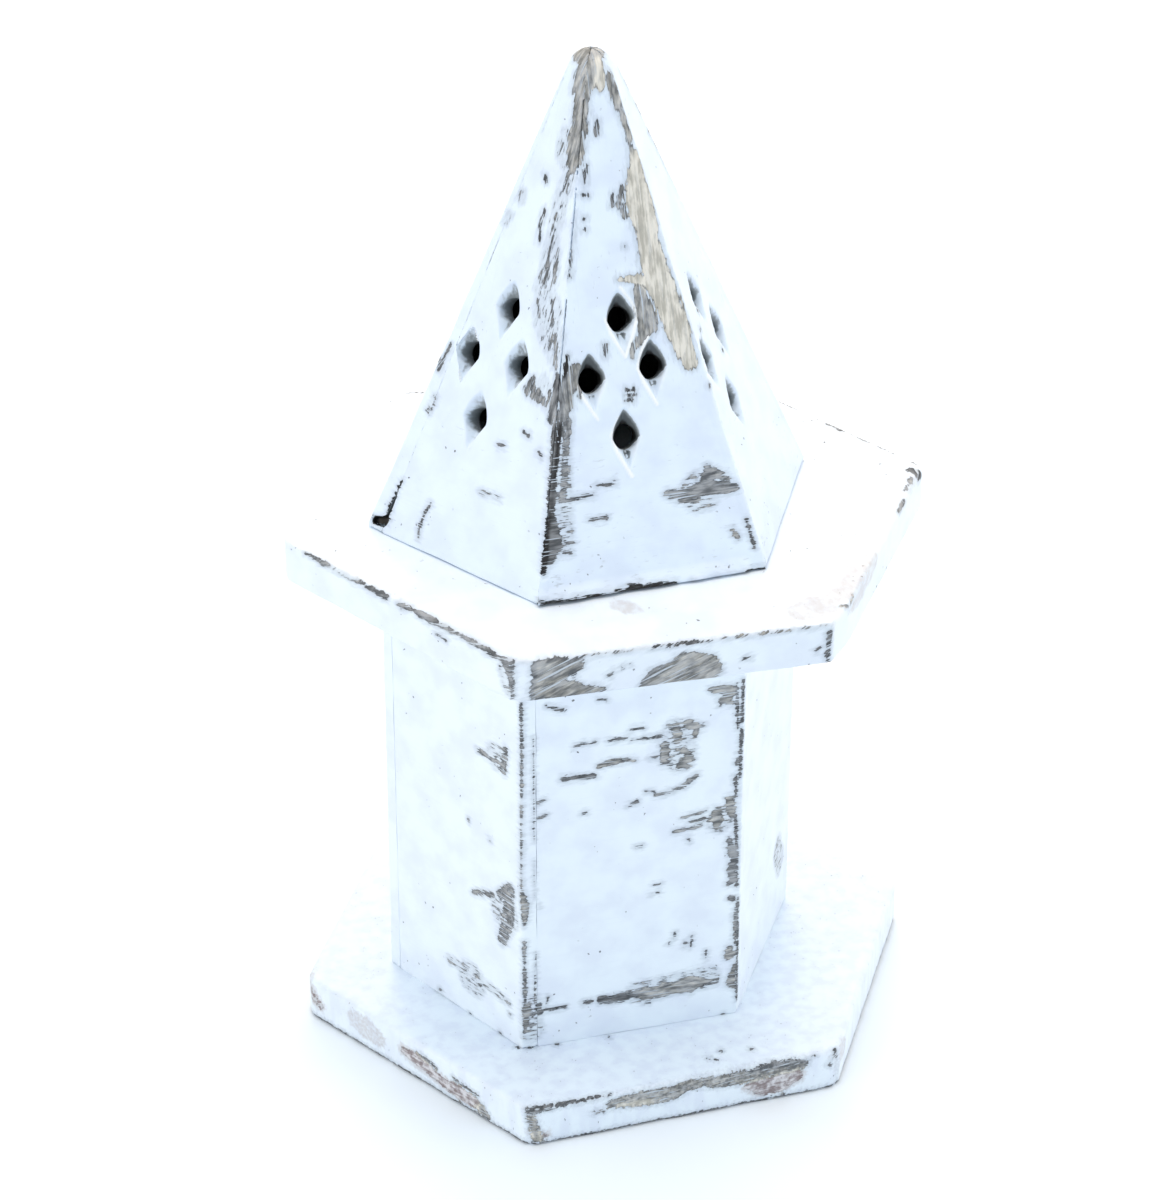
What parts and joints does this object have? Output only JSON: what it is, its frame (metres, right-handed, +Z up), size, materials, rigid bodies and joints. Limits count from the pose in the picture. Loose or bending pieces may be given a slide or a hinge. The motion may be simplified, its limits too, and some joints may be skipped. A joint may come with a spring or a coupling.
{
  "type": "incense cone burner",
  "caption": "Hexagonal wooden incense cone house: base slab, hollow board column, top plate and a pointed vented roof that swings back over a metal burner plate.",
  "frame": {"origin": "middle of the base plate's flat underside", "axes": "+Z up, -Y towards the front board, +X to the right seen from the front"},
  "size_m": [0.1399, 0.1225, 0.2225],
  "materials": {
    "painted_wood": "distressed matt white paint over bare wood, rubbed through at the edges",
    "brass": "stamped and turned, slightly dull",
    "steel": "drawn wire, dull"
  },
  "bodies": {
    "house": {"base_plate": "painted_wood", "top_plate": "painted_wood", "column_board_1": "painted_wood", "column_board_2": "painted_wood", "column_board_3": "painted_wood", "column_board_4": "painted_wood", "column_board_5": "painted_wood", "column_board_6": "painted_wood", "base_pin_1": "steel", "plate_pin_1": "steel", "base_pin_2": "steel", "plate_pin_2": "steel", "base_pin_3": "steel", "plate_pin_3": "steel", "base_pin_4": "steel", "plate_pin_4": "steel", "base_pin_5": "steel", "plate_pin_5": "steel", "base_pin_6": "steel", "plate_pin_6": "steel", "burner_plate": "brass", "burner_nail": "brass", "hinge_leaf_plate": "brass", "hinge_pin": "brass", "plate_screw_left": "brass", "plate_screw_right": "brass"},
    "roof": {"roof_board_1": "painted_wood", "roof_board_2": "painted_wood", "roof_board_3": "painted_wood", "roof_board_4": "painted_wood", "roof_board_5": "painted_wood", "roof_board_6": "painted_wood", "hinge_leaf_roof": "brass", "roof_screw_left": "brass", "roof_screw_right": "brass"}
  },
  "joints": [
    {"name": "roof_hinge", "type": "hinge", "parent": "house", "child": "roof", "pos_m": [-0.00444, 0.0494, 0.122], "axis": [-0.9994, -0.0349, 0], "range_deg": [0, 110]}
  ]
}
